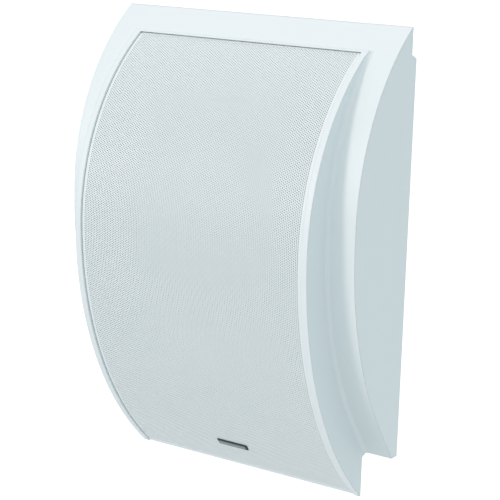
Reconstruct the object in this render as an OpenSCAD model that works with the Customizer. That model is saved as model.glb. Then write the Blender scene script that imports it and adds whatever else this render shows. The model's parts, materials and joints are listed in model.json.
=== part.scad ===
// Public address wall speaker: a bowed white cabinet with a perforated front, on a steel wall plate.
// Frame: x to the right, y towards the wall (wall at y = 0), z up, origin amid the four wall holes.

/* [Cabinet] */
// Overall width over the two wings
body_w = 205; // [200:1:215]
// Overall height from the top edge to the lower lip
body_h = 290; // [285:1:295]
// How far the wings stand out from the wall at their crown
wing_depth = 61.8; // [60.6:0.2:63]
// Height of the wings' crown above the middle of the cabinet
wing_crown_z = 33; // [30:0.5:36]
// Length of the straight stretch below the wings' crown
wing_flat = 7.5; // [4:0.5:10]
// Radius of the wings' bow below the straight stretch
wing_r_low = 203; // [198:0.5:206]
// Slope of the straight lower end of the wings, from upright
wing_tail = 35.5; // [34:0.5:36]
// Height of the wings, from the top edge down
wing_h = 262; // [258:1:264]
// Width of the bowed middle part
front_w = 168; // [166:1:170]
// How far the middle part stands out from the wall at its crown
front_depth = 82.8; // [82:0.2:84]
// Height of the middle part's crown above the middle of the cabinet
front_crown_z = 18.5; // [15:0.5:22]
// Wall thickness of the moulding
wall = 2.8; // [2.4:0.1:3]
// Radius in the corner between the middle part and a wing
cove_r = 3.4; // [2:0.1:3.6]

/* [Grille] */
// Width of the perforated sheet
grille_w = 158.6; // [156:0.2:159]
// Thickness of the perforated sheet
grille_t = 0.8; // [0.7:0.1:1]
// How deep the sheet lies behind the rim
grille_recess = 0.9; // [0.7:0.1:1.1]
// Length of the bare name plate
badge_w = 22.5; // [18:0.5:24]

/* [Loudspeaker] */
// Height of the loudspeaker's axis above the middle of the cabinet
driver_z = 8; // [4:1:12]
// Outer radius of the loudspeaker's flange
flange_r = 65; // [64:0.5:66]
// Radius of the voice coil's former, outside
former_r = 13; // [12.9:0.1:13.1]
// Radius of the ring magnet
magnet_r = 35; // [32:1:36]

/* [Wall plate] */
// Distance between the wall holes along x
hole_dx = 90; // [80:1:96]
// Distance between the wall holes along z
hole_dz = 130; // [120:1:134]
// Radius of a wall hole
wall_hole_r = 2.75; // [2.2:0.05:3]

/* [Hidden] */
$fn = 96;

// Colours of the real thing
shell_white = [0.93, 0.95, 0.96];
sheet_white = [0.86, 0.89, 0.90];
zinc = [0.72, 0.73, 0.75];
black_iron = [0.13, 0.13, 0.14];
paper_black = [0.10, 0.10, 0.11];
copper = [0.72, 0.38, 0.20];

// Cabinet levels, measured from the middle of the height
top_z = body_h / 2;
bottom_z = -body_h / 2;
wing_bottom_z = top_z - wing_h;
relief_y = -5.5;
relief_z = top_z - 16;
relief_slope = 3;
wing_low_z = wing_crown_z - wing_flat;
tail_proud = 0.01;
front_top_z = top_z - 14;
front_top_y = -23.6;
lip_y = -10;
lip_t = 0.8;
lip_recess = 0.5;
pocket_d = 2.4;
front_wall = pocket_d + wall;
pocket_top_z = front_top_z - 1.1;

// Radius of an arc that leaves the crown upright and drops back by d over the height h
function arc_r(h, d) = (h * h + d * d) / (2 * d);
wing_r_up = arc_r(top_z - wing_crown_z, wing_depth + relief_y);
front_r_up = arc_r(front_top_z - front_crown_z, front_depth + front_top_y);
front_r_low = arc_r(front_crown_z - bottom_z, front_depth + lip_y);

// Rear cover and its screws
cover_front_y = relief_y - 3;
cover_boss_x = 92.5;
cover_boss_z = [110, 5, -103];
boss_r = 4;
slot_x = 42;
slot_top_z = 78;
lock_y = -3.4;
entry_z = -52;

// Loudspeaker depths, measured back from the seat in the housing
seat_y = -60;
seat_r = flange_r + 2;
seat_hole_r = 56.5;
seat_t = 2.5;
screw_ring_r = 60.7;
plate_front_d = 25.2;
plate_t = 4;
magnet_t = 14;
yoke_t = 4;
magnet_front_d = plate_front_d + plate_t;
yoke_front_d = magnet_front_d + magnet_t;
gap_r = former_r + 1.5;
pole_r = former_r - 1;
spider_d = 17;
cone_rim_r = 49.5;
cone_rim_d = -2.2;
cone_neck_d = 14;
former_front_d = 10.5;

// Transformer and terminal block
tr_x = 22;
tr_z = -86;
core_w = 42;
core_h = 35;
core_t = 14;
core_front_y = -27;
leg_w = 7;
block_x = -46;
block_z = -78;
strip_x = 50;
strip_z = driver_z - 10;

// A solid with its outline in the y-z plane, running from -half_w to half_w along x
module along_x(half_w) {
    rotate([90, 0, 90]) translate([0, 0, -half_w]) linear_extrude(2 * half_w) children();
}

// Outline of a bowed body in y and z, set in by inset: two arcs, the lower one from low_arc_z down
module bow(depth, crown_z, low_arc_z, r_up, r_low, low_z, high_z, back_y, inset) {
    far = 400;
    intersection() {
        union() {
            intersection() {
                translate([r_up - depth, crown_z]) circle(r_up - inset, $fn = 240);
                translate([-depth - 1, crown_z]) square(far);
            }
            intersection() {
                translate([r_low - depth, low_arc_z]) circle(r_low - inset, $fn = 240);
                translate([-depth - 1, low_arc_z - far]) square(far);
            }
            children();
        }
        translate([-depth - 1, low_z]) square([depth + 1 + back_y, high_z - low_z]);
    }
}

// Point where the wings' lower arc runs over into the straight end, set in by inset. The straight end
// stands a hair proud of the arc, so that the two meet in a clean edge.
function tail_point(inset) = let (r = wing_r_low - inset + tail_proud)
    [wing_r_low - wing_depth - r * cos(wing_tail), wing_low_z - r * sin(wing_tail)];

// Outline of the wings, with a straight stretch at the crown and a straight lower end
module wing_bow(inset = 0, low_z = wing_bottom_z, high_z = top_z, back_y = 0) {
    run = 100;
    start = tail_point(inset);
    bow(wing_depth, wing_crown_z, wing_low_z, wing_r_up, wing_r_low, low_z, high_z, back_y, inset) {
        translate([inset - wing_depth, wing_low_z]) square([2 * wing_depth, wing_flat]);
        polygon([start, start + run * [sin(wing_tail), -cos(wing_tail)],
            start + run * [3, -cos(wing_tail)], start + [3 * run, 0]]);
    }
}

// Outline of the middle part
module front_bow(inset = 0, low_z = bottom_z, high_z = front_top_z, back_y = lip_y) {
    bow(front_depth, front_crown_z, front_crown_z, front_r_up, front_r_low, low_z, high_z, back_y, inset);
}

// A curved skin of the middle part, from one inset to a deeper one
module front_skin(from, to, low_z, high_z, back_y = lip_y) {
    difference() {
        front_bow(from, low_z, high_z, back_y);
        front_bow(to, low_z - 1, high_z + 1, back_y + 1);
    }
}

// A round bar along y from y0 to y1
module bar_y(r, y0, y1) {
    translate([0, y0, 0]) rotate([-90, 0, 0]) cylinder(r = r, h = y1 - y0);
}

// Places a piece that was drawn around the loudspeaker's axis, with depth along its own z
module on_driver() {
    translate([0, seat_y, driver_z]) rotate([-90, 0, 0]) children();
}

// Puts its children at the four flange screws, around the loudspeaker's axis
module at_flange_screws() {
    for (turn = [45:90:315]) rotate([0, 0, turn]) translate([screw_ring_r, 0, 0]) children();
}

// Puts its children at the six screws of the rear cover
module at_cover_screws() {
    for (side = [-1, 1], z = cover_boss_z) translate([side * cover_boss_x, 0, z]) children();
}

// A countersunk or pan screw along its own z, with its head at the top
module screw(shank_r, length, head_r, head_h) {
    difference() {
        union() {
            translate([0, 0, -length]) cylinder(r = shank_r, h = length, $fn = 24);
            cylinder(r1 = head_r, r2 = head_r * 0.72, h = head_h, $fn = 32);
        }
        for (turn = [0, 90]) rotate([0, 0, turn])
            translate([-head_r * 0.5, -0.3, head_h * 0.35]) cube([head_r, 0.6, head_h]);
    }
}

// Section of the corner blend: outwards from the wing's face first, x second
module cove_section(face_r = 0) {
    soft = 0.15;
    difference() {
        translate([face_r - 1, front_w / 2 - 1]) square(cove_r + 1);
        translate([face_r + cove_r - soft, front_w / 2 + cove_r - soft]) circle(cove_r, $fn = 48);
    }
}

// The corner blend turned around the centre of one arc of the wing's face
module cove_ring(face_r, arc_z) {
    translate([0, face_r - wing_depth, arc_z]) rotate([0, 90, 0]) rotate_extrude($fn = 240)
        cove_section(face_r);
}

// Corner blend along the whole of a wing's face: two arcs and two straight runs
module cove() {
    run = 60;
    start = tail_point(0);
    centre = [wing_r_low - wing_depth, wing_low_z];
    intersection() {
        union() {
            intersection() {
                cove_ring(wing_r_up, wing_crown_z);
                translate([0, -body_w, wing_crown_z]) cube([body_w / 2, body_w, body_h]);
            }
            intersection() {
                cove_ring(wing_r_low, wing_low_z);
                along_x(body_w / 2) polygon([centre, centre - [2 * wing_r_low, 0],
                    centre - 2 * wing_r_low * [cos(wing_tail), sin(wing_tail)]]);
            }
            translate([0, -wing_depth, wing_low_z]) rotate([0, 0, -90])
                linear_extrude(wing_flat) cove_section();
            translate([0, start[0], start[1]]) rotate([wing_tail, 0, 0]) rotate([0, 0, -90])
                translate([0, 0, -run]) linear_extrude(run) cove_section();
        }
        along_x(body_w / 2) front_bow(0, wing_bottom_z, front_top_z, 0);
    }
}

// Small gusset under a wing: a sloped back for the side of the middle part
module foot_gusset() {
    gusset_w = 6;
    gusset_h = 2.4;
    gusset_y = -4.5;
    translate([front_w / 2 - gusset_w, 0, 0]) rotate([90, 0, 90]) linear_extrude(gusset_w)
        polygon([[lip_y - 0.1, wing_bottom_z + 0.3], [lip_y - 0.1, wing_bottom_z - gusset_h],
            [lip_y, wing_bottom_z - gusset_h], [gusset_y, wing_bottom_z], [gusset_y, wing_bottom_z + 0.3]]);
}

// The one-piece moulded cabinet: wings, bowed middle part, grille pocket and loudspeaker seat
module front_housing() {
    color(shell_white) difference() {
        union() {
            difference() {
                union() {
                    along_x(body_w / 2) wing_bow();
                    along_x(front_w / 2) front_bow();
                    along_x(front_w / 2) front_bow(0, wing_bottom_z, front_top_z, relief_y);
                    for (side = [0, 1]) mirror([side, 0, 0]) {
                        cove();
                        foot_gusset();
                    }
                }
                difference() {
                    along_x(body_w / 2 - wall) wing_bow(wall, wing_bottom_z + wall, top_z + 1, 1);
                    along_x(front_w / 2) front_skin(0, front_wall, front_crown_z, front_top_z + 1);
                }
                along_x(front_w / 2 - wall)
                    front_bow(front_wall, bottom_z + wall, front_top_z - wall, lip_y - wall);
            }
            intersection() {
                union() {
                    on_driver() translate([0, 0, -30]) cylinder(r = seat_r + wall, h = 30 + seat_t);
                    on_driver() at_flange_screws() cylinder(r = boss_r, h = 9);
                }
                along_x(front_w / 2) front_bow(pocket_d);
            }
            intersection() {
                at_cover_screws() bar_y(boss_r, -wing_depth, cover_front_y);
                along_x(body_w / 2 - 1) wing_bow(1);
            }
        }
        // Pocket for the perforated sheet, with a low lip at its lower end
        along_x(front_w / 2 - 4.2) {
            front_skin(-1, pocket_d, bottom_z - 1, pocket_top_z, lip_y - lip_t);
            front_skin(-1, lip_recess, bottom_z - 1, pocket_top_z, lip_y + 1);
        }
        // Relief at the top of the back
        along_x(body_w) polygon([[relief_y, top_z + 1], [relief_y, relief_z],
            [1, relief_z - relief_slope], [1, top_z + 1]]);
        on_driver() translate([0, 0, -30]) cylinder(r = seat_r, h = 30);
        on_driver() translate([0, 0, -1]) cylinder(r = seat_hole_r, h = seat_t + 12);
        on_driver() at_flange_screws() translate([0, 0, -1]) cylinder(r = 1.3, h = 8, $fn = 24);
        at_cover_screws() bar_y(1.2, cover_front_y - 5.5, cover_front_y + 1, $fn = 24);
        translate([0, lock_y, wing_bottom_z - 1]) cylinder(r = 1.8, h = wall + 2, $fn = 24);
    }
}

// The flat moulded cover that closes the back, with ribs inside
module rear_cover() {
    cover_w = body_w - 2 * wall - 0.6;
    low_z = wing_bottom_z + wall + 0.3;
    color(shell_white) difference() {
        union() {
            along_x(cover_w / 2) intersection() {
                wing_bow(wall + 0.3, low_z);
                translate([cover_front_y, low_z]) square([relief_y - cover_front_y, body_h]);
            }
            for (z = [98, 45, -34]) translate([-76, cover_front_y - 2, z]) cube([152, 2.2, 2]);
            for (side = [-1, 1]) translate([side * 76 - 1, cover_front_y - 2, -100]) cube([2, 2.2, 220]);
        }
        at_cover_screws() bar_y(1.7, cover_front_y - 1, relief_y + 1, $fn = 24);
        for (side = [-1, 1]) translate([side * slot_x - 7, cover_front_y - 3, slot_top_z - 10])
            cube([14, 8, 10]);
        translate([0, 0, entry_z]) bar_y(6, cover_front_y - 3, relief_y + 1);
        for (side = [-1, 1]) translate([tr_x + side * 27, 0, tr_z])
            bar_y(1.2, cover_front_y - 1, relief_y + 1, $fn = 24);
        for (side = [-1, 1]) translate([block_x + side * 16, 0, block_z])
            bar_y(1.2, cover_front_y - 1, relief_y + 1, $fn = 24);
    }
}

// Six screws that hold the rear cover to the cabinet's bosses
module rear_cover_screws() {
    color(zinc) at_cover_screws() translate([0, relief_y, 0]) rotate([-90, 0, 0]) screw(1.2, 7.5, 3, 1.6);
}

// Steel plate that is screwed to the wall first, with two hooks and a locking tab
module wall_plate() {
    plate_w = 120;
    plate_h = 170;
    t = 2;
    tab_z = -110;
    color(zinc) difference() {
        union() {
            translate([-plate_w / 2, -t, -plate_h / 2]) cube([plate_w, t, plate_h]);
            translate([-12, -t, tab_z]) cube([24, t, -plate_h / 2 - tab_z + 1]);
            translate([-12, relief_y + 0.2, tab_z]) cube([24, -relief_y - 0.2, t]);
            for (side = [-1, 1]) translate([side * slot_x - 6, 0, slot_top_z - t]) {
                translate([0, -11, 0]) cube([12, 11, t]);
                translate([0, -11, 0]) cube([12, t, 8]);
            }
        }
        for (x = [-hole_dx / 2, hole_dx / 2], z = [-hole_dz / 2, hole_dz / 2])
            translate([x, 0, z]) bar_y(wall_hole_r, -t - 1, 1);
        translate([0, 0, entry_z]) bar_y(12, -t - 1, 1);
        translate([0, lock_y, tab_z - 1]) cylinder(r = 1.25, h = t + 2, $fn = 24);
    }
}

// Screw that locks the cabinet to the wall plate from below
module lock_screw() {
    color(zinc) translate([0, lock_y, wing_bottom_z]) rotate([180, 0, 0]) screw(1.25, 10, 2.1, 2);
}

// Rubber grommet of the cable entry
module cable_grommet() {
    color("black") translate([0, 0, entry_z]) difference() {
        union() {
            bar_y(6, cover_front_y - 1.6, relief_y + 1.6);
            bar_y(8.5, cover_front_y - 1.6, cover_front_y);
            bar_y(8.5, relief_y, relief_y + 1.6);
        }
        bar_y(4, cover_front_y - 3, relief_y + 3);
    }
}

// Perforated steel sheet, bent to the bow, with its two long edges folded back
module grille() {
    high_z = pocket_top_z - 0.4;
    back_y = lip_y - lip_t - 0.1;
    color(sheet_white) {
        along_x(grille_w / 2) front_skin(grille_recess, grille_recess + grille_t, bottom_z, high_z, back_y);
        for (side = [-1, 1]) translate([side * (grille_w - grille_t) / 2, 0, 0])
            along_x(grille_t / 2) front_skin(grille_recess + 0.2, pocket_d - 0.05, bottom_z + 6, high_z);
    }
}

// Thin cloth behind the perforated sheet
module grille_cloth() {
    color("gainsboro") along_x(grille_w / 2 - 2) front_skin(grille_recess + grille_t, pocket_d - 0.1,
        bottom_z + 7, pocket_top_z - 3);
}

// Bare name plate low on the sheet, with one slanted end
module badge_plate() {
    badge_h = 4.1;
    badge_x = 1.6;
    badge_z = bottom_z + 19;
    slant = 1;
    color([0.30, 0.36, 0.40]) intersection() {
        along_x(body_w / 2) front_skin(grille_recess - 0.6, grille_recess, bottom_z, front_top_z);
        translate([badge_x, -front_depth, badge_z]) rotate([-90, 0, 0]) linear_extrude(front_depth)
            polygon([[-badge_w / 2, -badge_h], [badge_w / 2, -badge_h], [badge_w / 2 - slant, 0],
                [-badge_w / 2, 0]]);
    }
}

// Pressed steel basket with six windows
module driver_basket() {
    t = 1.2;
    color(black_iron) on_driver() difference() {
        rotate_extrude() polygon([[flange_r, -2.2], [flange_r, -1], [54.5, -1], [38.6, 18.2], [31.2, 18.2],
            [31.2, plate_front_d], [former_r + 1.6, plate_front_d], [former_r + 1.6, plate_front_d - t],
            [30, plate_front_d - t], [30, 17], [37.8, 17], [53.2, -2.2]]);
        for (turn = [0:60:300]) rotate([0, 0, turn]) translate([30, -11, 3]) cube([30, 22, 12]);
        at_flange_screws() translate([0, 0, -4]) cylinder(r = 2, h = 6, $fn = 24);
    }
}

// Foam gasket under the flange
module driver_gasket() {
    color("dimgray") on_driver() difference() {
        translate([0, 0, -1]) cylinder(r = flange_r, h = 1);
        translate([0, 0, -2]) cylinder(r = seat_hole_r, h = 3);
        at_flange_screws() translate([0, 0, -2]) cylinder(r = 2, h = 3, $fn = 24);
    }
}

// Four screws through the flange into the housing
module driver_screws() {
    color(zinc) on_driver() at_flange_screws()
        translate([0, 0, -2.2]) rotate([180, 0, 0]) screw(1.3, 8, 2.8, 1.8);
}

// Steel washer in front of the magnet
module front_plate() {
    color(zinc) on_driver() translate([0, 0, plate_front_d]) difference() {
        cylinder(r = magnet_r - 1, h = plate_t);
        translate([0, 0, -1]) cylinder(r = gap_r, h = plate_t + 2);
    }
}

// Ferrite ring magnet
module ring_magnet() {
    color([0.22, 0.22, 0.23]) on_driver() translate([0, 0, magnet_front_d]) difference() {
        cylinder(r = magnet_r, h = magnet_t);
        translate([0, 0, -1]) cylinder(r = gap_r + 3, h = magnet_t + 2);
    }
}

// Steel back plate and pole in one piece
module yoke() {
    color(zinc) on_driver() {
        translate([0, 0, yoke_front_d]) cylinder(r = magnet_r - 1, h = yoke_t);
        translate([0, 0, plate_front_d]) cylinder(r = pole_r, h = magnet_t + plate_t + 1);
    }
}

// Paper tube that carries the coil
module voice_coil_former() {
    color("burlywood") on_driver() translate([0, 0, former_front_d]) difference() {
        cylinder(r = former_r, h = 21.7);
        translate([0, 0, -1]) cylinder(r = former_r - 0.5, h = 24);
    }
}

// Copper winding around the lower end of the former
module voice_coil_winding() {
    color(copper) on_driver() translate([0, 0, 22.2]) difference() {
        cylinder(r = former_r + 0.7, h = 10);
        translate([0, 0, -1]) cylinder(r = former_r, h = 12);
    }
}

// A turned skin from points of radius and depth, with the thickness t along the depth
module turned_skin(points, t) {
    back = [for (i = [len(points) - 1:-1:0]) points[i] + [0, t]];
    rotate_extrude() polygon(concat(points, back));
}

// Corrugated cloth disc that centres the coil
module spider() {
    waves = 4;
    steps = 8 * waves;
    flat_r = 30.6;
    profile = [for (i = [0:steps]) let (r = former_r + (flat_r - former_r) * i / steps)
        [r, spider_d - 0.7 - 0.9 * pow(sin(180 * waves * i / steps), 2)]];
    color("darkgoldenrod") on_driver() turned_skin(concat(profile, [[37, spider_d - 0.7]]), 0.7);
}

// Edge roll between cone and flange, glued to the front of both
module surround() {
    steps = 14;
    lip_d = -2.9;
    roll_h = 3;
    inner_r = cone_rim_r + 0.5;
    outer_r = cone_rim_r + 6.5;
    roll = [for (i = [0:steps])
        [inner_r + (outer_r - inner_r) * i / steps, lip_d - roll_h * sin(180 * i / steps)]];
    color([0.16, 0.16, 0.17]) on_driver()
        turned_skin(concat([[inner_r - 3.2, lip_d]], roll, [[outer_r + 1.6, lip_d]]), 0.7);
}

// Pressed paper cone with a curved flare and a flat rim
module main_cone() {
    steps = 12;
    sag = 1.6;
    flare_r = cone_rim_r - 3;
    profile = [for (i = [0:steps]) let (s = i / steps)
        [former_r + (flare_r - former_r) * s, cone_neck_d + (cone_rim_d - cone_neck_d) * s + sag * sin(180 * s)]];
    color(paper_black) on_driver() turned_skin(concat(profile, [[cone_rim_r, cone_rim_d]]), 0.6);
}

// Small cone for the high notes, glued to the former
module whizzer_cone() {
    steps = 10;
    lip_r = 26;
    profile = [for (i = [0:steps]) let (s = i / steps)
        [former_r + (lip_r - former_r) * s, 12.4 - 9.6 * s + 1.4 * sin(180 * s)]];
    color([0.62, 0.56, 0.47]) on_driver() turned_skin(profile, 0.5);
}

// Domed cap that closes the former
module dust_cap() {
    steps = 10;
    profile = [for (i = [0:steps]) [former_r * i / steps, former_front_d - 0.6 - 4.6 * cos(90 * i / steps)]];
    color(paper_black) on_driver() turned_skin(profile, 0.6);
}

// Board with two solder tags on the basket
module terminal_strip() {
    tag_dz = 4.5;
    board_back_y = seat_y + 5.6;
    color("saddlebrown") translate([strip_x, 0, strip_z]) {
        difference() {
            translate([0.5, seat_y + 4, -8]) cube([11.5, 1.6, 16]);
            for (z = [-tag_dz, tag_dz]) translate([9, 0, z]) bar_y(0.9, seat_y, seat_y + 9, $fn = 24);
        }
        for (z = [-tag_dz, tag_dz]) translate([4, board_back_y, z - 1.2]) cube([2, 6, 2.4]);
    }
}

// Points of a smooth route through chosen points
function smooth(p, n = 4) = [for (i = [0:len(p) - 2], k = [0:n - 1])
    let (a = p[max(i - 1, 0)], b = p[i], c = p[i + 1], d = p[min(i + 2, len(p) - 1)], t = k / n)
    0.5 * (2 * b + (c - a) * t + (2 * a - 5 * b + 4 * c - d) * t * t + (3 * b - a - 3 * c + d) * t * t * t),
    p[len(p) - 1]];

// A round wire through a list of points, eight-sided
module wire(route, r) {
    p = smooth(route);
    n = len(p);
    sides = 8;
    lean = [0.05, 1, 0.08];
    function heading(i) = p[min(i + 1, n - 1)] - p[max(i - 1, 0)];
    function unit(v) = v / norm(v);
    points = [for (i = [0:n - 1]) let (h = unit(heading(i)), u = unit(cross(h, lean)), v = cross(h, u))
        for (k = [0:sides - 1]) p[i] + r * (cos(360 * k / sides) * u + sin(360 * k / sides) * v)];
    skin = [for (i = [0:n - 2], k = [0:sides - 1]) let (k2 = (k + 1) % sides)
        [i * sides + k, i * sides + k2, (i + 1) * sides + k2, (i + 1) * sides + k]];
    first = [[for (k = [sides - 1:-1:0]) k]];
    last = [[for (k = [0:sides - 1]) (n - 1) * sides + k]];
    polyhedron(points, concat(first, skin, last), convexity = 6);
}

// Two flexible braids from the strip to the back of the cone
module tinsel_leads() {
    routes = [
        [[53.95, 6.5, -14.5], [50.6, 6.9, -13.4], [47.4, 8.6, -10.4], [44, 9.4, -9], [38, 8.8, -8.4], [33.6, 7.4, -8]],
        [[53.95, 6.5, -5.5], [50.6, 6.9, -5], [47.4, 8.6, -4], [44, 9.4, -3], [38, 8.8, -2.4], [33.6, 7.4, -2]]];
    color("goldenrod") for (route = routes)
        wire([for (p = route) [p[0], seat_y + p[1], driver_z + p[2]]], 0.4);
}

// Stack of iron sheets with two windows
module transformer_core() {
    window = [(core_w - 4 * leg_w) / 2, core_h - 2 * leg_w];
    color([0.36, 0.37, 0.39]) translate([tr_x, core_front_y, tr_z]) difference() {
        translate([-core_w / 2, 0, -core_h / 2]) cube([core_w, core_t, core_h]);
        for (side = [-1, 1]) translate([side * (leg_w + window[0] / 2) - window[0] / 2, -1, -window[1] / 2])
            cube([window[0], core_t + 2, window[1]]);
    }
}

// Plastic bobbin on the middle leg
module transformer_bobbin() {
    inner_h = core_h - 2 * leg_w - 0.6;
    color("ivory") translate([tr_x, core_front_y + core_t / 2, tr_z]) difference() {
        union() {
            for (side = [-1, 1]) translate([-13.6, -10.4, side * (inner_h / 2 - 0.6) - 0.6])
                cube([27.2, 20.8, 1.2]);
            translate([-8, -8, -inner_h / 2]) cube([16, 16, inner_h]);
        }
        translate([-7.1, -7.1, -inner_h]) cube([14.2, 14.2, 2 * inner_h]);
    }
}

// Coil of enamelled wire on the bobbin
module transformer_winding() {
    inner_h = core_h - 2 * leg_w - 3.2;
    color(copper) translate([tr_x, core_front_y + core_t / 2, tr_z - inner_h / 2]) difference() {
        linear_extrude(inner_h) intersection() {
            square([26, 20], center = true);
            circle(r = 15.2);
        }
        translate([-8.1, -8.1, -1]) cube([16.2, 16.2, inner_h + 2]);
    }
}

// Steel frame with two feet that holds the core to the rear cover
module transformer_bracket() {
    t = 1;
    strap_h = 24;
    side_x = core_w / 2;
    color(zinc) translate([tr_x, 0, tr_z - strap_h / 2]) difference() {
        union() {
            for (side = [0, 1]) mirror([side, 0, 0]) {
                translate([side_x, core_front_y - t, 0]) cube([t, cover_front_y - core_front_y + t, strap_h]);
                translate([side_x, cover_front_y - t, 0]) cube([10.5, t, strap_h]);
                translate([side_x - leg_w + 0.4, core_front_y - t, 0]) cube([leg_w, t, strap_h]);
            }
            translate([-side_x - t / 2, core_front_y + core_t, 0]) cube([core_w + t, t, strap_h]);
        }
        translate([-13.8, core_front_y + core_t - 1, 1.4]) cube([27.6, t + 2, strap_h - 2.8]);
        for (side = [-1, 1]) translate([side * 27, 0, strap_h / 2])
            bar_y(1.6, cover_front_y - 2, cover_front_y + 1, $fn = 24);
    }
}

// Two screws through the feet of the transformer's frame
module transformer_screws() {
    color(zinc) for (side = [-1, 1]) translate([tr_x + side * 27, cover_front_y - 1, tr_z])
        rotate([90, 0, 0]) screw(1.2, 3.6, 2.6, 1.6);
}

// Three-way terminal block for the line
module terminal_block() {
    color("whitesmoke") translate([block_x, 0, block_z]) difference() {
        union() {
            translate([-20, cover_front_y - 3, -7]) cube([40, 3, 14]);
            for (x = [-9, 0, 9]) translate([x - 4, cover_front_y - 13, -7]) cube([8, 10.5, 14]);
        }
        for (x = [-9, 0, 9]) {
            translate([x, cover_front_y - 7, -8]) cylinder(r = 1.8, h = 16, $fn = 24);
            for (z = [-3.6, 3.6]) translate([x, 0, z]) {
                bar_y(1.6, cover_front_y - 14, cover_front_y - 11, $fn = 24);
                bar_y(1.1, cover_front_y - 12, cover_front_y - 7, $fn = 24);
            }
        }
        for (side = [-1, 1]) translate([side * 16, 0, 0])
            bar_y(1.6, cover_front_y - 4, cover_front_y + 1, $fn = 24);
    }
}

// Clamping screws of the block and the two screws that hold it
module terminal_block_screws() {
    color(zinc) {
        for (x = [-9, 0, 9], z = [-3.6, 3.6]) translate([block_x + x, cover_front_y - 11, block_z + z])
            rotate([90, 0, 0]) screw(1.1, 2.4, 1.5, 1.2);
        for (side = [-1, 1]) translate([block_x + side * 16, cover_front_y - 3, block_z])
            rotate([90, 0, 0]) screw(1.2, 5.6, 2.6, 1.6);
    }
}

// Two wires from the terminal block to the lower end of the transformer's bobbin
module line_leads() {
    color("firebrick") {
        wire([[-46, -15.5, -83], [-46, -14.5, -90], [-42, -12, -97], [-30, -10.9, -101],
            [-10, -10.9, -101.6], [6, -10.9, -101.6], [14, -10.9, -100.2], [18, -10.9, -97]], 0.8);
        wire([[-37, -15.5, -83], [-37, -14.5, -89], [-33, -12, -95], [-24, -10.9, -98.6],
            [-10, -10.9, -99.6], [2, -10.9, -99.8], [8, -10.9, -99.3], [11, -10.9, -97]], 0.8);
    }
}

// Two wires from the transformer to the loudspeaker's tags
module speaker_leads() {
    color("dimgray") {
        wire([[25, -29, -75.6], [25, -31, -68], [32, -36, -58], [46, -41, -42], [60, -47, -22],
            [61.5, -50, -9.5], [56.05, -50, -6.5]], 0.8);
        wire([[29, -29, -75.6], [29.5, -31, -68], [37, -36, -59], [51, -41, -44], [65, -47, -22],
            [66, -50, -2], [56.05, -50, 2.5]], 0.8);
    }
}

front_housing();
rear_cover();
rear_cover_screws();
wall_plate();
lock_screw();
cable_grommet();
grille();
grille_cloth();
badge_plate();
driver_basket();
driver_gasket();
driver_screws();
front_plate();
ring_magnet();
yoke();
voice_coil_former();
voice_coil_winding();
spider();
surround();
main_cone();
whizzer_cone();
dust_cap();
terminal_strip();
tinsel_leads();
transformer_core();
transformer_bobbin();
transformer_winding();
transformer_bracket();
transformer_screws();
terminal_block();
terminal_block_screws();
line_leads();
speaker_leads();
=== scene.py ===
# %% [markdown]
# # A bowed wall loudspeaker
# This lesson dresses a finished loudspeaker model. The cabinet, driver, transformer and wall plate come in as
# a fixed frame at their real size. What is left for the mesh code is the perforated steel sheet with its
# thousands of small holes, the name plate's field, the cloth and leads that flex with the cone, and the finish
# of every surface.

import json
import math

import bmesh
import bpy
import numpy as np
from mathutils import Matrix, Vector


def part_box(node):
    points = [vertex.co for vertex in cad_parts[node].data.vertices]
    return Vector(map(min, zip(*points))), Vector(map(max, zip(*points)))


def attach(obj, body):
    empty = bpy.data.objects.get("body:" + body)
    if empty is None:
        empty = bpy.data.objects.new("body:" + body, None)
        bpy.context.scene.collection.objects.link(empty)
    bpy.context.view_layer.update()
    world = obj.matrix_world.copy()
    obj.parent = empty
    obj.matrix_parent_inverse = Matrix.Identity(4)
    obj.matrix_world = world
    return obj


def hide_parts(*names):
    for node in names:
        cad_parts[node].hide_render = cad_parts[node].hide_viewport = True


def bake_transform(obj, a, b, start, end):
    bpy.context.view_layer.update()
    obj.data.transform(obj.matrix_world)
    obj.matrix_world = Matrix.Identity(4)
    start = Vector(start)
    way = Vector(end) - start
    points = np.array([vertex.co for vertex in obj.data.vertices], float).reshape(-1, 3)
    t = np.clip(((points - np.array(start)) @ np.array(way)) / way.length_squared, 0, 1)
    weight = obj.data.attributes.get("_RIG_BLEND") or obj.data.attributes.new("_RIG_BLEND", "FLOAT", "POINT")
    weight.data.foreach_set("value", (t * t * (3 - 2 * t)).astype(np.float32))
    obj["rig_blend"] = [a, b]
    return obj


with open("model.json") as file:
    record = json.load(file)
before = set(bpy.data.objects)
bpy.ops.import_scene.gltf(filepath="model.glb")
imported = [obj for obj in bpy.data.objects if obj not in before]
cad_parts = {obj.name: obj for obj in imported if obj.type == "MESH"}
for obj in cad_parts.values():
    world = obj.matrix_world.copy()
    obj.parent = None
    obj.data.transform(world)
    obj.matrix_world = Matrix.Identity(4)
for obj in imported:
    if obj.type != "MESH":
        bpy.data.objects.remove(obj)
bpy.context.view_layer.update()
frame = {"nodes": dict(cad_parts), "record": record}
MM = 0.001

# %% [markdown]
# ## The bow
# The middle part of the cabinet is bowed like a sail: seen from the side, its outline is two arcs that meet at
# the crown, where both stand upright. The sheet has to follow that outline exactly, so the same two radii are
# worked out here from the depth of the crown and from the two ends of the outline. A place on the sheet is
# then a distance along the arc from the crown, and an inset behind the rim's outer face.

# %% Radii of the two arcs
HOUSING_LOW, HOUSING_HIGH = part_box("front_housing")
SHEET_LOW, SHEET_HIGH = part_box("grille")
FRONT_DEPTH = -HOUSING_LOW[1]
CROWN_Z = 18.5 * MM
# The outline's two ends, as y and z
TOP_END = (-23.6 * MM, 131.0 * MM)
LOW_END = (-10.0 * MM, HOUSING_LOW[2])
SHEET_INSET = 0.9 * MM
SHEET_T = 0.8 * MM


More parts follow.
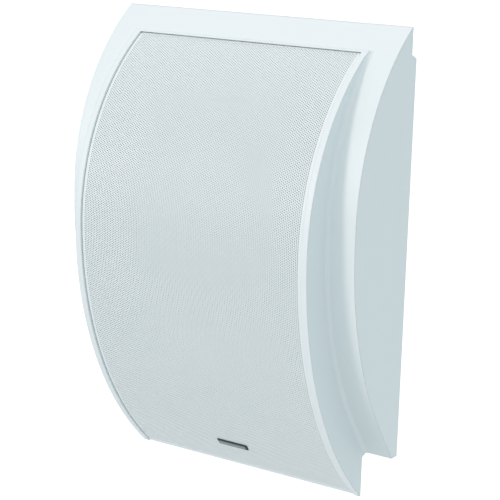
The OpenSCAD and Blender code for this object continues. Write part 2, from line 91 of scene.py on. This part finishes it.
def arc_radius(height, drop):
    """Radius of an arc that starts upright and falls back by drop over height: (height^2 + drop^2) / (2 drop)."""
    return (height ** 2 + drop ** 2) / (2 * drop)


R_UP = arc_radius(TOP_END[1] - CROWN_Z, FRONT_DEPTH + TOP_END[0])
R_LOW = arc_radius(CROWN_Z - LOW_END[1], FRONT_DEPTH + LOW_END[0])


def on_bow(s, inset):
    """y and z at arc length s from the crown, upwards positive.

    Both are the arc's centre plus (radius - inset) times the cosine or sine of s over the sheet's radius.
    """
    radius = np.where(s >= 0, R_UP, R_LOW)
    turn = s / (radius - SHEET_INSET)
    y = radius - FRONT_DEPTH - (radius - inset) * np.cos(turn)
    z = CROWN_Z + (radius - inset) * np.sin(turn)
    return y, z


S_TOP = (R_UP - SHEET_INSET) * math.asin((SHEET_HIGH[2] - CROWN_Z) / (R_UP - SHEET_INSET))
S_LOW = -(R_LOW - SHEET_INSET) * math.asin((CROWN_Z - SHEET_LOW[2]) / (R_LOW - SHEET_INSET))
print(f"arcs {R_UP:.4f} and {R_LOW:.4f} m, sheet {S_TOP - S_LOW:.4f} m along the bow")

# %% [markdown]
# ## From arrays to a mesh
# Every new surface is worked out as whole arrays of points and of four-cornered faces. One helper puts them
# into a Blender mesh with `foreach_set`, which is fast enough for hundreds of thousands of faces.

# %% A helper that makes a piece
def piece(name, points, quads, smooth=False):
    """Makes a mesh piece from an (n, 3) array of points and an (m, 4) array of corner numbers."""
    mesh = bpy.data.meshes.new(name)
    mesh.vertices.add(len(points))
    mesh.vertices.foreach_set("co", np.asarray(points, dtype=np.float32).ravel())
    mesh.loops.add(quads.size)
    mesh.loops.foreach_set("vertex_index", quads.astype(np.int32).ravel())
    mesh.polygons.add(len(quads))
    mesh.polygons.foreach_set("loop_start", np.arange(0, quads.size, 4, dtype=np.int32))
    mesh.polygons.foreach_set("use_smooth", np.full(len(quads), smooth))
    mesh.update()
    mesh.validate()
    obj = bpy.data.objects.new(name, mesh)
    bpy.context.scene.collection.objects.link(obj)
    print(f"{name}: {len(points)} points, {len(quads) * 2} triangles")
    return obj


def grid_quads(rows, columns, closed_rows=False, closed_columns=False):
    """Corner numbers of a grid of rows by columns points, row after row, closed round on request."""
    row = np.arange(rows if closed_rows else rows - 1)[:, None]
    column = np.arange(columns if closed_columns else columns - 1)[None, :]
    next_row = (row + 1) % rows
    next_column = (column + 1) % columns
    corners = [row * columns + column, row * columns + next_column,
               next_row * columns + next_column, next_row * columns + column]
    return np.stack([np.broadcast_to(c, (row.size, column.size)) for c in corners], axis=-1).reshape(-1, 4)


# %% [markdown]
# ## The perforated sheet
# The real sheet is mild steel punched with small round holes that touch nowhere: each has six neighbours at the
# same distance. In the picture their fine pattern shows upright columns of holes, each shifted by half a step
# against the next. A texture could fake the holes, but only real holes shade the cloth behind them. One hole is a
# six-sided ring of metal around a six-sided opening with walls. The rings fit together like a honeycomb, so their
# outer corners fall on whole numbers of a fine raster: a third of a column's width across and half a pitch up.
# That lets numpy find the corners that neighbours share, and bend the flat raster onto the bow in one step.

# %% The raster of holes
PITCH = 1.434 * MM
HOLE_R = 0.45 * MM
STEP_X = PITCH / (2 * math.sqrt(3))
STEP_S = PITCH / 2
CORNERS = np.array([(2, 0), (1, 1), (-1, 1), (-2, 0), (-1, -1), (1, -1)])
SIDE_BORDER = 1.4 * MM
# The dressed sheet reaches this much further into the gap beside the rim than the frame's plain one
SNUG = 0.25 * MM
END_BORDER = 0.3 * MM
HALF_W = SHEET_HIGH[0] + SNUG
COLUMNS = int((2 * (HALF_W - SIDE_BORDER)) // (3 * STEP_X))
ROWS = int((S_TOP - S_LOW - 2 * END_BORDER) // PITCH)
X_START = -3 * STEP_X * (COLUMNS - 1) / 2
S_START = (S_TOP + S_LOW) / 2 - (ROWS - 1) * PITCH / 2
HOLES_HALF_W = -X_START + STEP_X
HOLES_LOW = S_START - STEP_S
HOLES_TOP = S_START + (2 * ROWS - 1) * STEP_S
print(f"{COLUMNS} columns of {ROWS} holes")


# %% A part of the sheet, from one row to another
def punched_rows(name, first, last):
    """Rows of holes: each is a ring of quads from six shared outer corners to six rim points, and six wall quads."""
    row, column = np.meshgrid(np.arange(first, last), np.arange(COLUMNS), indexing="ij")
    odd = column % 2
    kept = ~((odd == 1) & (row == ROWS - 1))
    centre = np.stack([3 * column, 2 * row + odd], axis=-1)[kept]
    corner = centre[:, None, :] + CORNERS[None, :, :]
    corner[..., 0] = np.clip(corner[..., 0], -1, 3 * (COLUMNS - 1) + 1)
    corner[..., 1] = np.where(corner[..., 1] <= 0, -1, corner[..., 1])
    corner[..., 1] = np.where(corner[..., 1] >= 2 * ROWS - 2, 2 * ROWS - 1, corner[..., 1])
    shared, which = np.unique(corner.reshape(-1, 2), axis=0, return_inverse=True)
    angle = np.radians(60 * np.arange(6))
    rim = centre[:, None, :] * (STEP_X, STEP_S) + HOLE_R * np.stack([np.cos(angle), np.sin(angle)], axis=-1)
    flat = np.concatenate([shared * (STEP_X, STEP_S), rim.reshape(-1, 2), rim.reshape(-1, 2)])
    inset = np.full(len(flat), SHEET_INSET)
    inset[len(shared) + rim.size // 2:] += SHEET_T
    y, z = on_bow(flat[:, 1] + S_START, inset)
    outer = which.reshape(-1, 6)
    front = len(shared) + np.arange(rim.size // 2).reshape(-1, 6)
    back = front + rim.size // 2
    rings = np.stack([outer, np.roll(outer, -1, 1), np.roll(front, -1, 1), front], axis=-1)
    walls = np.stack([front, np.roll(front, -1, 1), np.roll(back, -1, 1), back], axis=-1)
    quads = np.concatenate([rings.reshape(-1, 4), walls.reshape(-1, 4)])
    return piece(name, np.stack([flat[:, 0] + X_START, y, z], axis=-1), quads)


PARTS = 4
cuts = np.linspace(0, ROWS, PARTS + 1).astype(int)
sheet_parts = [punched_rows(f"punched_sheet_{i + 1}", cuts[i], cuts[i + 1]) for i in range(PARTS)]

# %% [markdown]
# ## The sheet's plain border
# A press leaves a plain band around the holes and folds the two long edges back with a small radius. The fold
# catches the light as a fine bright line beside the rim. It is a profile of sheet thickness, carried along the bow
# at both sides; the top and bottom bands are the same idea, with the profile carried across the sheet.

# %% The border
FOLD_R = 0.45 * MM
POCKET_D = 2.4 * MM
FOLD_CLEARANCE = 0.1 * MM
BOW_STATIONS = 261


def fold_profile():
    """x and inset round the folded edge: along the front, a quarter circle, down the side, and back inside."""
    turn = np.radians(np.linspace(90, 0, 7))
    outer_x = HALF_W - FOLD_R + FOLD_R * np.cos(turn)
    outer_i = SHEET_INSET + FOLD_R - FOLD_R * np.sin(turn)
    x = np.concatenate([[HOLES_HALF_W], outer_x, [HALF_W, HALF_W - SHEET_T, HALF_W - SHEET_T, HOLES_HALF_W]])
    end = POCKET_D - FOLD_CLEARANCE
    i = np.concatenate([[SHEET_INSET], outer_i, [end, end, SHEET_INSET + SHEET_T, SHEET_INSET + SHEET_T]])
    return x, i


def sheet_border():
    """Two folded side bands along the bow and two plain bands across it, in one piece."""
    x, inset = fold_profile()
    s = np.linspace(S_LOW, S_TOP, BOW_STATIONS)
    y, z = on_bow(s[:, None], inset[None, :])
    right = np.stack([np.broadcast_to(x, y.shape), y, z], axis=-1).reshape(-1, 3)
    quads = grid_quads(BOW_STATIONS, len(x), closed_columns=True)
    left = right * (-1, 1, 1)
    points, faces = [right, left], [quads[:, ::-1], quads + len(right)]
    low_band = (S_LOW, HOLES_LOW)
    top_band = (HOLES_TOP, S_TOP)
    for start, end in (low_band, top_band):
        s = np.array([start, end, end, start])
        i = SHEET_INSET + SHEET_T * np.array([0, 0, 1, 1])
        y, z = on_bow(s, i)
        across = np.array([-HOLES_HALF_W, HOLES_HALF_W])
        band = np.stack([np.repeat(across, 4), np.tile(y, 2), np.tile(z, 2)], axis=-1)
        faces.append(grid_quads(2, 4, closed_columns=True)[:, ::-1] + sum(len(p) for p in points))
        points.append(band)
    return piece("sheet_border", np.concatenate(points), np.concatenate(faces))


sheet_parts.append(sheet_border())
for part in sheet_parts:
    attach(part, "cabinet")
    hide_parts("grille")

# %% [markdown]
# ## The name plate's field
# Low on the sheet sits a dark metal plate with a paler satin field, slanted at its right end. The plate is made nearly
# black, and the field leaves wide strips of it bare along the top and the right: painted shade along those two edges.
# The field is left bare. It is a thin cushion: its surface is a grid over the plate's outline that drops away near the
# edges, so that it has soft edges instead of a knife cut.

# %% The field
PLATE_LOW, PLATE_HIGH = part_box("badge_plate")
PLATE_RISE = 0.6 * MM
FIELD_SLANT = 1.0 * MM
# The wide top and right margins leave the nearly black plate bare in strips: painted shade along those edges
MARGIN_LEFT, PAINTED_SHADE_RIGHT = 0.35 * MM, 1.3 * MM
PAINTED_SHADE_TOP, MARGIN_LOW = 1.35 * MM, 0.2 * MM
FIELD_SINK = 0.05 * MM
FIELD_RISE = 0.2 * MM


def plate_field():
    """A grid of u and v over the slanted outline.

    The height is a plateau, (1 - |2u - 1|^40) (1 - |2v - 1|^12), that falls off steeply at the edges.
    """
    nu, nv = 61, 15
    u, v = np.meshgrid(np.linspace(0, 1, nu), np.linspace(0, 1, nv))
    plate_h = PLATE_HIGH[2] - PLATE_LOW[2]
    x0 = PLATE_LOW[0] + MARGIN_LEFT
    x1 = PLATE_HIGH[0] - FIELD_SLANT - PAINTED_SHADE_RIGHT
    z = PLATE_LOW[2] + MARGIN_LOW + v * (plate_h - PAINTED_SHADE_TOP - MARGIN_LOW)
    lean = FIELD_SLANT * (z - PLATE_LOW[2]) / plate_h
    x = x0 + u * (x1 + lean - x0)
    crown = (1 - np.abs(2 * u - 1) ** 40) * (1 - np.abs(2 * v - 1) ** 12)
    radius = R_LOW - SHEET_INSET + PLATE_RISE
    face_y = R_LOW - FRONT_DEPTH - np.sqrt(radius ** 2 - (z - CROWN_Z) ** 2)
    y = face_y + FIELD_SINK - FIELD_RISE * crown
    points = np.stack([x, y, z], axis=-1).reshape(-1, 3)
    return piece("badge_field", points, grid_quads(nv, nu), smooth=True)


badge_field = plate_field()
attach(badge_field, "cabinet")

# %% [markdown]
# ## The parts that flex with the cone
# The cone hangs between two springs of cloth: the roll surround at its rim and the corrugated spider round its coil.
# Two braided leads bring it the current. Springs and leads are held by the basket at their outer end and by the cone
# at their inner end, so the cone would cut through rigid ones as it travels. Each becomes a copy of its frame node
# that blends from the cabinet to the cone.

# %% Flexing copies
CONE_LOW, CONE_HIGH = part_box("main_cone")
AXIS_Z = (CONE_LOW[2] + CONE_HIGH[2]) / 2
SURROUND_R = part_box("surround")[1][0] - 1.6 * MM
SPIDER_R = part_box("spider")[1][0] - 6.4 * MM
ROLL_W = 6.0 * MM
CORRUGATED_W = 16.6 * MM
# For each node, the radius that stays still and the radius that moves with the cone
FLEXING = {
    "surround": (SURROUND_R, SURROUND_R - ROLL_W),
    "spider": (SPIDER_R, SPIDER_R - CORRUGATED_W),
    "tinsel_leads": (53.5 * MM, 34.6 * MM),
}
MERGE_WITHIN = 0.001 * MM
BLEND_SHARES = "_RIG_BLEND"


def flexing_copy(node, fixed_r, moving_r):
    """A merged copy of a node whose points share the cone's motion by 3t^2 - 2t^3.

    Here t runs from 0 at the fixed radius to 1 at the moving radius.
    """
    mesh = frame["nodes"][node].data.copy()
    merged = bmesh.new()
    merged.from_mesh(mesh)
    bmesh.ops.remove_doubles(merged, verts=merged.verts, dist=MERGE_WITHIN)
    merged.to_mesh(mesh)
    merged.free()
    obj = bpy.data.objects.new(f"flexing_{node}", mesh)
    bpy.context.scene.collection.objects.link(obj)
    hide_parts(node)
    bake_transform(obj, "cabinet", "cone", start=(fixed_r, 0, AXIS_Z), end=(moving_r, 0, AXIS_Z))
    points = np.empty(3 * len(mesh.vertices))
    mesh.vertices.foreach_get("co", points)
    points = points.reshape(-1, 3)
    radius = np.hypot(points[:, 0], points[:, 2] - AXIS_Z)
    t = np.clip((fixed_r - radius) / (fixed_r - moving_r), 0, 1)
    shares = t * t * (3 - 2 * t)
    mesh.attributes[BLEND_SHARES].data.foreach_set("value", shares.astype(np.float32))
    print(f"{obj.name}: {len(points)} points, still outside {fixed_r:.4f} m, moving inside {moving_r:.4f} m")
    return obj


flexing = {node: flexing_copy(node, *radii) for node, radii in FLEXING.items()}

# %% [markdown]
# ## Effects that several finishes share
# Real surfaces are never one flat colour: a moulding has a fine spark-eroded grain, paint pools a little, plating
# is drawn in one direction. Each such effect is a node group, built once and placed in each material with its own
# values. A group only hands over colours and values; the shader stays in the material.

# %% Helpers for node groups
def new_group(name, inputs, outputs):
    """A shader node group; inputs are (name, type, default) and outputs are (name, type)."""
    tree = bpy.data.node_groups.new(name, "ShaderNodeTree")
    for label, kind, default in inputs:
        socket = tree.interface.new_socket(label, in_out="INPUT", socket_type=f"NodeSocket{kind}")
        socket.default_value = default
    for label, kind in outputs:
        tree.interface.new_socket(label, in_out="OUTPUT", socket_type=f"NodeSocket{kind}")
    return tree, tree.nodes.new("NodeGroupInput"), tree.nodes.new("NodeGroupOutput")


def maths(tree, operation, a, b):
    """A Math node whose two inputs are sockets or numbers."""
    node = tree.nodes.new("ShaderNodeMath")
    node.operation = operation
    for socket, value in zip(node.inputs, (a, b)):
        if isinstance(value, bpy.types.NodeSocket):
            tree.links.new(value, socket)
        else:
            socket.default_value = value
    return node.outputs[0]


def noise(tree, vector, scale, detail=3.0):
    """A noise texture's value on a vector."""
    node = tree.nodes.new("ShaderNodeTexNoise")
    node.inputs["Detail"].default_value = detail
    tree.links.new(vector, node.inputs["Vector"])
    if isinstance(scale, bpy.types.NodeSocket):
        tree.links.new(scale, node.inputs["Scale"])
    else:
        node.inputs["Scale"].default_value = scale
    return node.outputs["Fac"]


# %% Tone: two colours mixed by soft clouds
def tone_group():
    """Colour drifts between two given colours with a broad noise, as paint and plastic do."""
    tree, given, result = new_group(
        "tone", [("Colour A", "Color", (1, 1, 1, 1)), ("Colour B", "Color", (1, 1, 1, 1)), ("Scale", "Float", 20.0)],
        [("Colour", "Color")])
    where = tree.nodes.new("ShaderNodeTexCoord").outputs["Object"]
    cloud = noise(tree, where, given.outputs["Scale"])
    mix = tree.nodes.new("ShaderNodeMix")
    mix.data_type = "RGBA"
    tree.links.new(cloud, mix.inputs["Factor"])
    tree.links.new(given.outputs["Colour A"], mix.inputs["A"])
    tree.links.new(given.outputs["Colour B"], mix.inputs["B"])
    tree.links.new(mix.outputs["Result"], result.inputs["Colour"])
    return tree


# %% Gloss: roughness between two values
def gloss_group():
    """Roughness wanders between a low and a high value with a middle-sized noise, as moulding leaves it."""
    tree, given, result = new_group(
        "gloss", [("Low", "Float", 0.4), ("High", "Float", 0.6), ("Scale", "Float", 60.0)], [("Roughness", "Float")])
    where = tree.nodes.new("ShaderNodeTexCoord").outputs["Object"]
    cloud = noise(tree, where, given.outputs["Scale"])
    spread = maths(tree, "SUBTRACT", given.outputs["High"], given.outputs["Low"])
    scaled = maths(tree, "MULTIPLY", spread, cloud)
    tree.links.new(maths(tree, "ADD", scaled, given.outputs["Low"]), result.inputs["Roughness"])
    return tree


# %% Grain: the fine texture of a mould, stretched on request
def grain_group():
    """Height is a fine noise on Object coordinates, each multiplied by Stretch, so that it can run in one direction."""
    tree, given, result = new_group(
        "grain", [("Scale", "Float", 2500.0), ("Stretch", "Vector", (1, 1, 1))], [("Height", "Float")])
    where = tree.nodes.new("ShaderNodeTexCoord").outputs["Object"]
    stretch = tree.nodes.new("ShaderNodeVectorMath")
    stretch.operation = "MULTIPLY"
    tree.links.new(where, stretch.inputs[0])
    tree.links.new(given.outputs["Stretch"], stretch.inputs[1])
    height = noise(tree, stretch.outputs["Vector"], given.outputs["Scale"], detail=2.0)
    tree.links.new(height, result.inputs["Height"])
    return tree


# %% Weave: crossed threads
def weave_group():
    """Height is the larger of two sine waves, one along x and one along z, as warp and weft stand up in turn."""
    tree, given, result = new_group("weave", [("Threads per metre", "Float", 2000.0)], [("Height", "Float")])
    where = tree.nodes.new("ShaderNodeTexCoord").outputs["Object"]
    split = tree.nodes.new("ShaderNodeSeparateXYZ")
    tree.links.new(where, split.inputs[0])
    turns = maths(tree, "MULTIPLY", given.outputs["Threads per metre"], math.tau)
    warp, weft = (maths(tree, "SINE", maths(tree, "MULTIPLY", split.outputs[axis], turns), 0.0) for axis in "XZ")
    tree.links.new(maths(tree, "MAXIMUM", warp, weft), result.inputs["Height"])
    return tree


TONE, GLOSS, GRAIN, WEAVE = tone_group(), gloss_group(), grain_group(), weave_group()
print("groups:", [g.name for g in (TONE, GLOSS, GRAIN, WEAVE)])

# %% [markdown]
# ## One way to make a material
# All finishes share a pattern: a colour from the tone group, a roughness from the gloss group, a bump whose height
# comes from the grain or the weave, and mostly edges that are softened by a small radius, because no moulded or
# pressed edge is a razor. What differs is passed in. Constant values go straight onto the shader's own sockets.

# %% The material helper
def use_group(mat, tree, **values):
    """Places a node group in a material with its own input values."""
    node = mat.node_tree.nodes.new("ShaderNodeGroup")
    node.node_tree = tree
    for label, value in values.items():
        node.inputs[label.replace("_", " ")].default_value = value
    return node


def finish(name, light, dark, rough, tone_scale=25.0, grain=(2500.0, (1, 1, 1)), bump=0.05, depth=0.02, metallic=0.0,
           edge=0.4, threads=None, specular=0.5):
    """A material: light and dark are its two colours and rough its two roughnesses.

    The bump's depth and the softened edge's radius are in millimetres, and threads is a weave's threads per metre.
    """
    mat = bpy.data.materials.new(name)
    mat.use_nodes = True
    nodes, links = mat.node_tree.nodes, mat.node_tree.links
    shader = nodes["Principled BSDF"]
    shader.inputs["Metallic"].default_value = metallic
    shader.inputs["Specular IOR Level"].default_value = specular
    tone = use_group(mat, TONE, Colour_A=(*light, 1), Colour_B=(*dark, 1), Scale=tone_scale)
    links.new(tone.outputs["Colour"], shader.inputs["Base Color"])
    gloss = use_group(mat, GLOSS, Low=rough[0], High=rough[1])
    links.new(gloss.outputs["Roughness"], shader.inputs["Roughness"])
    if threads:
        relief = use_group(mat, WEAVE, Threads_per_metre=threads)
    else:
        relief = use_group(mat, GRAIN, Scale=grain[0], Stretch=grain[1])
    bumpy = nodes.new("ShaderNodeBump")
    bumpy.inputs["Strength"].default_value = bump
    bumpy.inputs["Distance"].default_value = depth * MM
    links.new(relief.outputs["Height"], bumpy.inputs["Height"])
    if edge:
        soft = nodes.new("ShaderNodeBevel")
        soft.inputs["Radius"].default_value = edge * MM
        soft.samples = 4
        links.new(soft.outputs["Normal"], bumpy.inputs["Normal"])
    links.new(bumpy.outputs["Normal"], shader.inputs["Normal"])
    return mat


# %% [markdown]
# ## The finishes
# The cabinet is white plastic with a fine satin grain. In the picture its shaded sides look slightly blue-green, so
# the white leans that way. The sheet is powder coated to match and looks a shade darker, because the holes let the
# cloth behind them show. The hidden parts have the finishes such parts have: black lacquer on the basket, black
# paper on the cone, zinc on steel, enamel on copper, ferrite that is nearly black.

# %% Plastics, paints and papers
FINISHES = {
    "cabinet_white": finish("cabinet_white", (0.80, 0.865, 0.87), (0.815, 0.875, 0.885), (0.42, 0.52), bump=0.12,
                            edge=1.0),
    "cover_white": finish("cover_white", (0.74, 0.80, 0.80), (0.77, 0.82, 0.83), (0.5, 0.62), bump=0.2, edge=0.4),
    "sheet_white": finish("sheet_white", (0.80, 0.865, 0.865), (0.83, 0.885, 0.89), (0.45, 0.55), edge=0),
    # The plate's near-black colour shows as strips beside the field at the top and right: painted shade there
    "badge": finish("badge", (0.010, 0.022, 0.027), (0.018, 0.031, 0.037), (0.45, 0.58), edge=0.2, specular=0.15),
    "badge_face": finish("badge_face", (0.16, 0.21, 0.225), (0.21, 0.26, 0.275), (0.34, 0.46), metallic=0.6, edge=0,
                         grain=(1500.0, (1, 8, 8)), bump=0.15),
    "basket_black": finish("basket_black", (0.035, 0.035, 0.038), (0.05, 0.05, 0.053), (0.32, 0.45), edge=0.4),
    "bobbin_plastic": finish("bobbin_plastic", (0.78, 0.75, 0.62), (0.83, 0.80, 0.69), (0.42, 0.52)),
    "block_plastic": finish("block_plastic", (0.82, 0.82, 0.78), (0.87, 0.87, 0.84), (0.4, 0.5)),
    "board": finish("board", (0.26, 0.13, 0.05), (0.34, 0.18, 0.08), (0.45, 0.6), grain=(700.0, (1, 6, 1)), bump=0.2),
    "paper": finish("paper", (0.035, 0.035, 0.04), (0.06, 0.06, 0.065), (0.8, 0.92), grain=(1400.0, (1, 1, 1)),
                    bump=0.6, depth=0.06),
    "whizzer_paper": finish("whizzer_paper", (0.36, 0.29, 0.20), (0.44, 0.36, 0.26), (0.8, 0.92),
                            grain=(1400.0, (1, 1, 1)), bump=0.6, depth=0.05),
    "former_card": finish("former_card", (0.56, 0.43, 0.25), (0.63, 0.50, 0.31), (0.7, 0.82), bump=0.3),
    "ferrite": finish("ferrite", (0.05, 0.05, 0.055), (0.075, 0.075, 0.08), (0.5, 0.65), grain=(1800.0, (1, 1, 1)),
                      bump=0.35, edge=0.5),
    "foam": finish("foam", (0.07, 0.07, 0.072), (0.10, 0.10, 0.10), (0.9, 0.97), grain=(1100.0, (1, 1, 1)), bump=0.9,
                   depth=0.12),
    "rubber": finish("rubber", (0.03, 0.03, 0.03), (0.045, 0.045, 0.045), (0.62, 0.75), bump=0.2, edge=0.5),
    "wire_red": finish("wire_red", (0.48, 0.03, 0.025), (0.55, 0.05, 0.04), (0.35, 0.45), edge=0),
    "wire_grey": finish("wire_grey", (0.22, 0.23, 0.24), (0.28, 0.29, 0.30), (0.35, 0.45), edge=0),
}
print("plastics, paints and papers:", len(FINISHES))

# %% Metals and cloths
FINISHES |= {
    "zinc": finish("zinc", (0.60, 0.61, 0.63), (0.72, 0.72, 0.70), (0.30, 0.46), tone_scale=90.0, metallic=1.0,
                   grain=(500.0, (1, 1, 14)), bump=0.10),
    "screw_steel": finish("screw_steel", (0.55, 0.56, 0.58), (0.66, 0.66, 0.66), (0.28, 0.4), tone_scale=200.0,
                          metallic=1.0, edge=0.15),
    "core_iron": finish("core_iron", (0.16, 0.17, 0.19), (0.27, 0.28, 0.30), (0.45, 0.6), metallic=0.8,
                        grain=(300.0, (0.2, 18, 0.2)), bump=0.8, depth=0.15),
    "copper": finish("copper", (0.72, 0.32, 0.14), (0.80, 0.42, 0.22), (0.22, 0.34), metallic=1.0,
                     grain=(150.0, (0.3, 0.3, 22)), bump=0.8, depth=0.1, edge=0.3),
    "cloth": finish("cloth", (0.36, 0.41, 0.42), (0.42, 0.47, 0.48), (0.85, 0.95), threads=1800.0, bump=0.5,
                    depth=0.08, edge=0),
    "spider_cloth": finish("spider_cloth", (0.50, 0.30, 0.09), (0.60, 0.38, 0.14), (0.75, 0.88), threads=1500.0,
                           bump=0.7, depth=0.1, edge=0),
    "surround_cloth": finish("surround_cloth", (0.04, 0.04, 0.043), (0.06, 0.06, 0.063), (0.7, 0.82), threads=1500.0,
                             bump=0.5, depth=0.08, edge=0),
    "tinsel": finish("tinsel", (0.62, 0.38, 0.16), (0.74, 0.50, 0.26), (0.4, 0.55), metallic=0.6, edge=0,
                     grain=(2600.0, (1, 1, 1)), bump=0.8),
}
for row in frame["record"]["subparts"]:
    node, slot = row["node"], row["material_slot"]
    shown = [frame["nodes"][node]]
    if node in flexing:
        shown.append(flexing[node])
    for obj in shown:
        obj.data.materials.clear()
        obj.data.materials.append(FINISHES[slot])
for part in sheet_parts:
    part.data.materials.append(FINISHES["sheet_white"])
badge_field.data.materials.append(FINISHES["badge_face"])

# %% [markdown]
# ## Light
# The shadow that the rim casts on the wing tells where the main lamp stands: to the left, in front and a little
# above, and its soft edge tells that the lamp is broad. All else is lit as in a light tent, brighter and warmer
# from overhead than from the sides, and dimmer from the right. So there is one broad sun lamp and one pale world
# whose colour changes with the direction looked at. For the camera and for reflections the world is plain white.

# %% Lamp and world
LAMP_FROM = Vector((-0.60, -1.05, 0.30))
LAMP_STRENGTH = 0.69
LAMP_WIDTH = math.radians(12)
LAMP_COLOUR = (1.12, 1.0, 0.98)
SIDE_LIGHT = (0.615, 0.712, 0.732)
OVERHEAD_GAIN = (0.50, 0.35, 0.34)
RIGHT_LOSS = (-0.26, -0.165, -0.13)

lamp_data = bpy.data.lights.new("key_lamp", "SUN")
lamp_data.energy = LAMP_STRENGTH
lamp_data.angle = LAMP_WIDTH
lamp_data.color = LAMP_COLOUR
lamp = bpy.data.objects.new("key_lamp", lamp_data)
lamp.rotation_euler = LAMP_FROM.to_track_quat("Z", "Y").to_euler()
bpy.context.scene.collection.objects.link(lamp)

world = bpy.data.worlds.new("light_tent")
bpy.context.scene.world = world
world.use_nodes = True
sky = world.node_tree
sky.nodes.clear()
shade = sky.nodes.new("ShaderNodeBackground")
towards = sky.nodes.new("ShaderNodeSeparateXYZ")
sky.links.new(sky.nodes.new("ShaderNodeTexCoord").outputs["Generated"], towards.inputs[0])
steps = [sky.nodes.new("ShaderNodeVectorMath") for _ in range(2)]
for step, axis, gain in zip(steps, ("Z", "X"), (OVERHEAD_GAIN, RIGHT_LOSS)):
    step.operation = "MULTIPLY_ADD"
    sky.links.new(maths(sky, "MAXIMUM", towards.outputs[axis], 0.0), step.inputs[0])
    step.inputs[1].default_value = gain
steps[0].inputs[2].default_value = SIDE_LIGHT
sky.links.new(steps[0].outputs["Vector"], steps[1].inputs[2])
sky.links.new(steps[1].outputs["Vector"], shade.inputs["Color"])
white = sky.nodes.new("ShaderNodeBackground")
white.inputs["Color"].default_value = (1, 1, 1, 1)
path = sky.nodes.new("ShaderNodeLightPath")
seen = maths(sky, "MAXIMUM", path.outputs["Is Camera Ray"], path.outputs["Is Transmission Ray"])
seen = maths(sky, "MAXIMUM", seen, path.outputs["Is Glossy Ray"])
choose = sky.nodes.new("ShaderNodeMixShader")
sky.links.new(seen, choose.inputs["Fac"])
sky.links.new(shade.outputs[0], choose.inputs[1])
sky.links.new(white.outputs[0], choose.inputs[2])
sky.links.new(choose.outputs[0], sky.nodes.new("ShaderNodeOutputWorld").inputs["Surface"])
print("lamp from", tuple(round(c, 2) for c in LAMP_FROM.normalized()))

# %% [markdown]
# ## The floor
# The loudspeaker hangs on a wall, so nothing stands right below it. A plain pale floor lies a hand's breadth under
# it and takes its shadow. To the camera the floor adds a little of its own light, so that it meets the white
# background without an edge where no shadow falls.

# %% Floor
FLOOR_DROP = 0.12
FLOOR_HALF = 8.0
FLOOR_LIFT = 0.48
FLOOR_COLOUR = (0.70, 0.72, 0.725, 1)

floor_z = HOUSING_LOW[2] - FLOOR_DROP
floor_corners = np.array([(-1, -1), (1, -1), (1, 1), (-1, 1)]) * FLOOR_HALF
floor_points = np.column_stack([floor_corners, np.full(4, floor_z)])
floor = piece("floor", floor_points, np.array([[0, 1, 2, 3]]))
floor_mat = bpy.data.materials.new("pale_floor")
floor_mat.use_nodes = True
floor_tree = floor_mat.node_tree
floor_tree.nodes.clear()
plain = floor_tree.nodes.new("ShaderNodeBsdfDiffuse")
plain.inputs["Color"].default_value = FLOOR_COLOUR
glow = floor_tree.nodes.new("ShaderNodeEmission")
floor_path = floor_tree.nodes.new("ShaderNodeLightPath")
floor_seen = maths(
    floor_tree, "MAXIMUM", floor_path.outputs["Is Camera Ray"], floor_path.outputs["Is Glossy Ray"])
floor_tree.links.new(maths(floor_tree, "MULTIPLY", floor_seen, FLOOR_LIFT), glow.inputs["Strength"])
both = floor_tree.nodes.new("ShaderNodeAddShader")
floor_tree.links.new(plain.outputs[0], both.inputs[0])
floor_tree.links.new(glow.outputs[0], both.inputs[1])
floor_tree.links.new(both.outputs[0], floor_tree.nodes.new("ShaderNodeOutputMaterial").inputs["Surface"])
floor.data.materials.append(floor_mat)
print("floor at", round(floor_z, 4))

# %% [markdown]
# ## The camera
# The camera stands to the right of the loudspeaker and a little above it, tilted down by thirteen degrees. Its place
# and lens were worked out from the object's straight and bowed edges in the picture.

# %% Camera
CAMERA_AT = Vector((542.5, -829.7, 228.3)) * MM
CAMERA_YAW = math.radians(33.64)
CAMERA_DOWN = math.radians(13.15)
CAMERA_ROLL = math.radians(1.59)
CAMERA_LENS = 116.1
SENSOR = 36.0
SEES_TO = 50.0

ahead = Vector((-math.sin(CAMERA_YAW), math.cos(CAMERA_YAW), 0))
level = Vector((math.cos(CAMERA_YAW), math.sin(CAMERA_YAW), 0))
up_axis = Vector((0, 0, 1))
look = ahead * math.cos(CAMERA_DOWN) - up_axis * math.sin(CAMERA_DOWN)
upright = ahead * math.sin(CAMERA_DOWN) + up_axis * math.cos(CAMERA_DOWN)
right = level * math.cos(CAMERA_ROLL) + upright * math.sin(CAMERA_ROLL)
up = upright * math.cos(CAMERA_ROLL) - level * math.sin(CAMERA_ROLL)
camera_data = bpy.data.cameras.new("camera")
camera_data.lens = CAMERA_LENS
camera_data.sensor_width = SENSOR
camera_data.clip_end = SEES_TO
camera = bpy.data.objects.new("camera", camera_data)
camera.matrix_world = Matrix.Translation(CAMERA_AT) @ Matrix((right, up, -look)).transposed().to_4x4()
bpy.context.scene.collection.objects.link(camera)
bpy.context.scene.camera = camera
bpy.context.scene.view_settings.view_transform = "Standard"
print("camera", tuple(round(c, 4) for c in camera.location))
